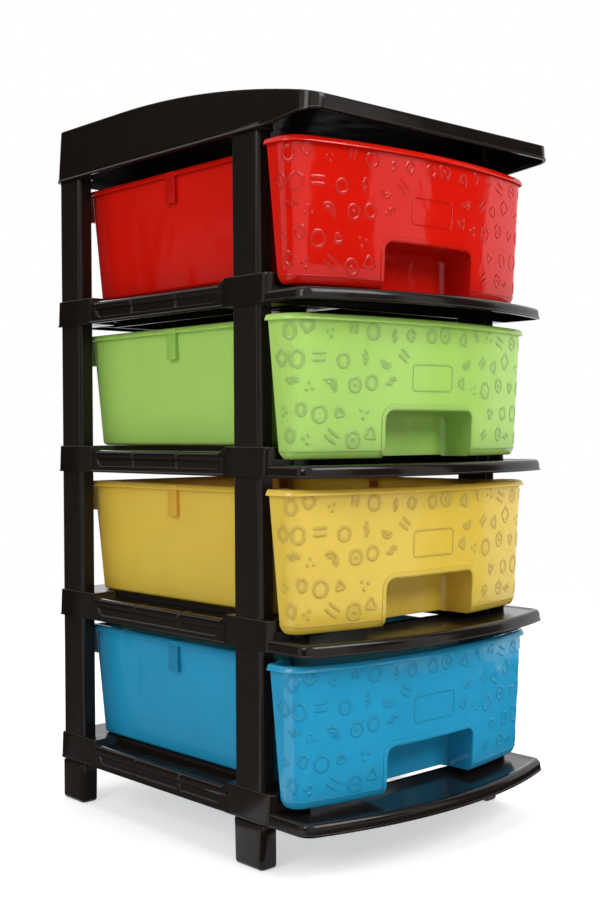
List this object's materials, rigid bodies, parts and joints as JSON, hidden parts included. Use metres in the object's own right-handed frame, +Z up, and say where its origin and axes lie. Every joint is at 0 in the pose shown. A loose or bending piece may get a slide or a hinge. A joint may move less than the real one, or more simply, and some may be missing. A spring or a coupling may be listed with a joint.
{
  "type": "plastic drawer tower",
  "caption": "Free-standing moulded plastic storage tower: open knock-down frame of shelves, posts, feet and an arched cover, with coloured slide-out drawers with a finger pocket.",
  "frame": {"origin": "centre of the footprint on the floor, at the bottom centre of the bounding box", "axes": "+Z up; +X to the right as seen from the front; +Y to the back, so the drawers open towards -Y"},
  "size_m": [0.2966, 0.372, 0.6303],
  "materials": {
    "frame_black": "glossy black moulded polypropylene with a slight warm tint",
    "post_black": "satin black moulded polypropylene",
    "drawer_blue": "glossy blue polypropylene, slightly see-through",
    "drawer_yellow": "glossy warm yellow polypropylene, slightly see-through",
    "drawer_green": "glossy light green polypropylene, slightly see-through",
    "drawer_red": "glossy red polypropylene"
  },
  "bodies": {
    "frame": {"top_cover": "frame_black", "shelf_1": "frame_black", "shelf_2": "frame_black", "shelf_3": "frame_black", "shelf_4": "frame_black", "post_1_front_left": "post_black", "post_1_front_right": "post_black", "post_1_rear_left": "post_black", "post_1_rear_right": "post_black", "post_2_front_left": "post_black", "post_2_front_right": "post_black", "post_2_rear_left": "post_black", "post_2_rear_right": "post_black", "post_3_front_left": "post_black", "post_3_front_right": "post_black", "post_3_rear_left": "post_black", "post_3_rear_right": "post_black", "post_4_front_left": "post_black", "post_4_front_right": "post_black", "post_4_rear_left": "post_black", "post_4_rear_right": "post_black", "foot_front_left": "post_black", "foot_front_right": "post_black", "foot_rear_left": "post_black", "foot_rear_right": "post_black"},
    "drawer_1_blue": {"drawer_1_blue": "drawer_blue"},
    "drawer_2_yellow": {"drawer_2_yellow": "drawer_yellow"},
    "drawer_3_green": {"drawer_3_green": "drawer_green"},
    "drawer_4_red": {"drawer_4_red": "drawer_red"}
  },
  "joints": [
    {"name": "drawer_1_slide", "type": "slide", "parent": "frame", "child": "drawer_1_blue", "axis": [0, -1, 0], "range_m": [0, 0.24]},
    {"name": "drawer_2_slide", "type": "slide", "parent": "frame", "child": "drawer_2_yellow", "axis": [0, -1, 0], "range_m": [0, 0.24]},
    {"name": "drawer_3_slide", "type": "slide", "parent": "frame", "child": "drawer_3_green", "axis": [0, -1, 0], "range_m": [0, 0.24]},
    {"name": "drawer_4_slide", "type": "slide", "parent": "frame", "child": "drawer_4_red", "axis": [0, -1, 0], "range_m": [0, 0.24]}
  ]
}
